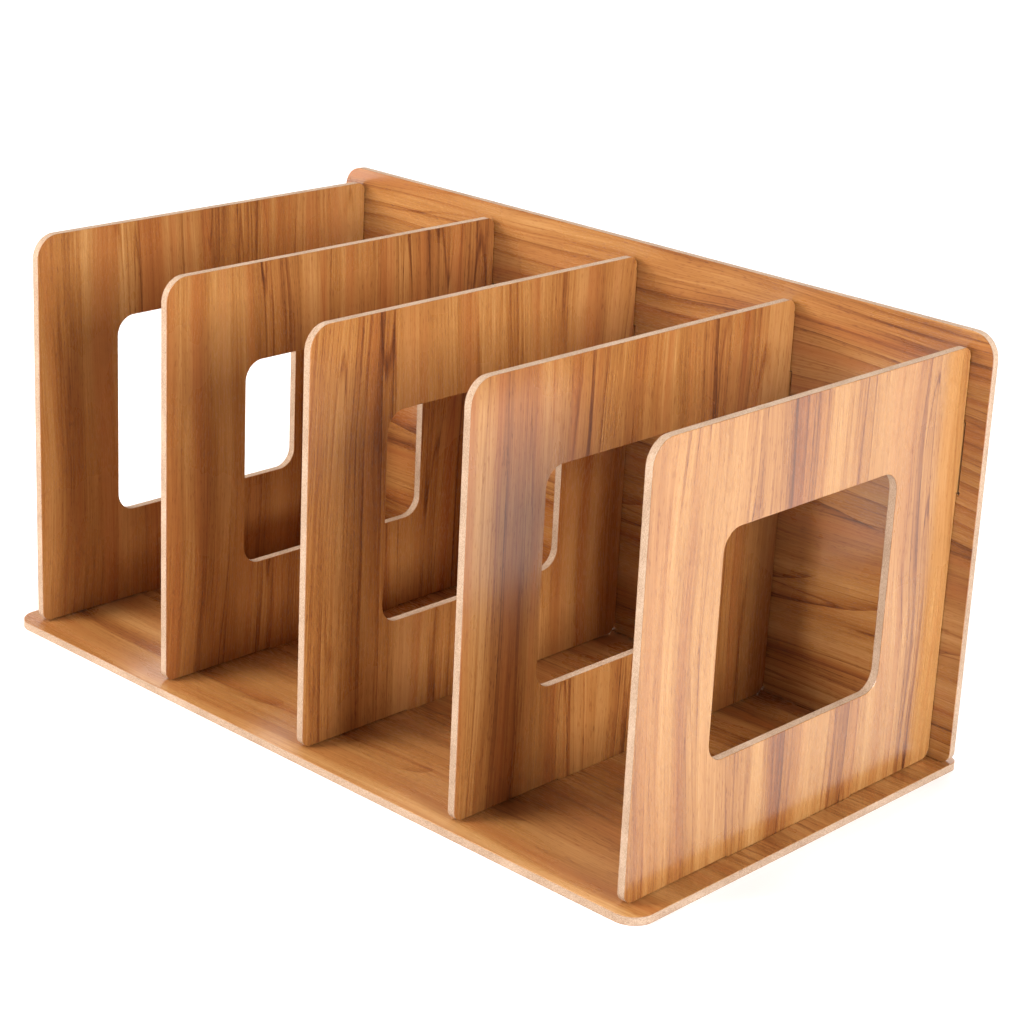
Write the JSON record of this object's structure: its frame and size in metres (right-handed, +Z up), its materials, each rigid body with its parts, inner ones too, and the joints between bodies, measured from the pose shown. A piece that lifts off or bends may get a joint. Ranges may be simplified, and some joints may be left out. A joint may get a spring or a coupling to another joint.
{
  "type": "desktop file sorter",
  "caption": "Open-front desktop file sorter: a flat base carries a row of upright dividers with rounded windows, braced by a full-width back panel.",
  "frame": {"origin": "centre of the base board's underside, in line with the surface it stands on", "axes": "+X along the row of dividers, +Y from the open front to the back panel, +Z up"},
  "size_m": [0.32, 0.175, 0.1609],
  "materials": {
    "base_laminate": "satin wood-grain film on both faces, raw fibreboard edges, grain along X",
    "panel_laminate": "satin wood-grain film on both faces, raw fibreboard edges, grain along X",
    "divider_laminate": "satin wood-grain film on both faces, raw fibreboard edges, grain upright"
  },
  "bodies": {
    "root": {"base_board": "base_laminate", "back_panel": "panel_laminate", "left_end_divider": "divider_laminate", "left_divider": "divider_laminate", "centre_divider": "divider_laminate", "right_divider": "divider_laminate", "right_end_divider": "divider_laminate"}
  },
  "joints": []
}
